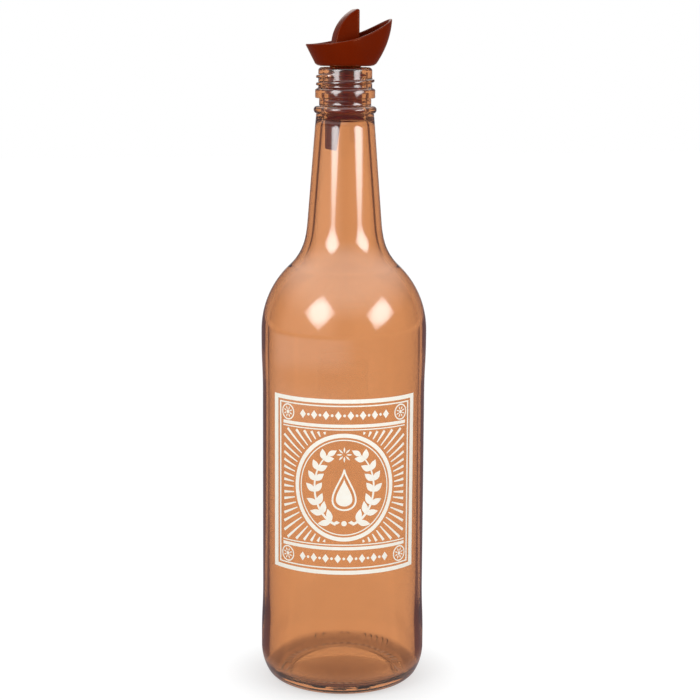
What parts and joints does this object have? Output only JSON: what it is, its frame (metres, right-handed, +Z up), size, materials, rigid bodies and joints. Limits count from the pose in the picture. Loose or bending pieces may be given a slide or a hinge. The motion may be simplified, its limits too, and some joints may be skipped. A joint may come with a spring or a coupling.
{
  "type": "oil bottle",
  "caption": "Tall glass oil bottle with a threaded neck, a ribbed push-in stopper and a beaked pourer cup whose weighted flap tips open as the bottle is tilted.",
  "frame": {"origin": "middle of the bottle's foot, on the surface that it stands on", "axes": "+Z up the neck, +X the way the pourer's beak points"},
  "size_m": [0.0786, 0.0786, 0.3205],
  "materials": {
    "glass": "clear amber-brown, polished",
    "soft_plastic": "satin red-brown",
    "pourer_plastic": "glossy red-brown",
    "tube_plastic": "glossy red-brown",
    "flap_plastic": "glossy red-brown"
  },
  "bodies": {
    "bottle": {"glass_bottle": "glass"},
    "stopper": {"ribbed_stopper": "soft_plastic"},
    "pourer": {"pourer_cup": "pourer_plastic", "air_tube": "tube_plastic"},
    "flap": {"pour_flap": "flap_plastic"}
  },
  "joints": [
    {"name": "stopper_lift", "type": "slide", "parent": "bottle", "child": "stopper", "axis": [0, 0, 1], "range_m": [0, 0.045]},
    {"name": "pourer_turn", "type": "hinge", "parent": "stopper", "child": "pourer", "pos_m": [0, 0, 0.2939], "axis": [0, 0, 1], "continuous": true},
    {"name": "flap_tip", "type": "hinge", "parent": "pourer", "child": "flap", "pos_m": [0.004, 0, 0.3052], "axis": [0, 1, 0], "range_deg": [0, 45]}
  ]
}
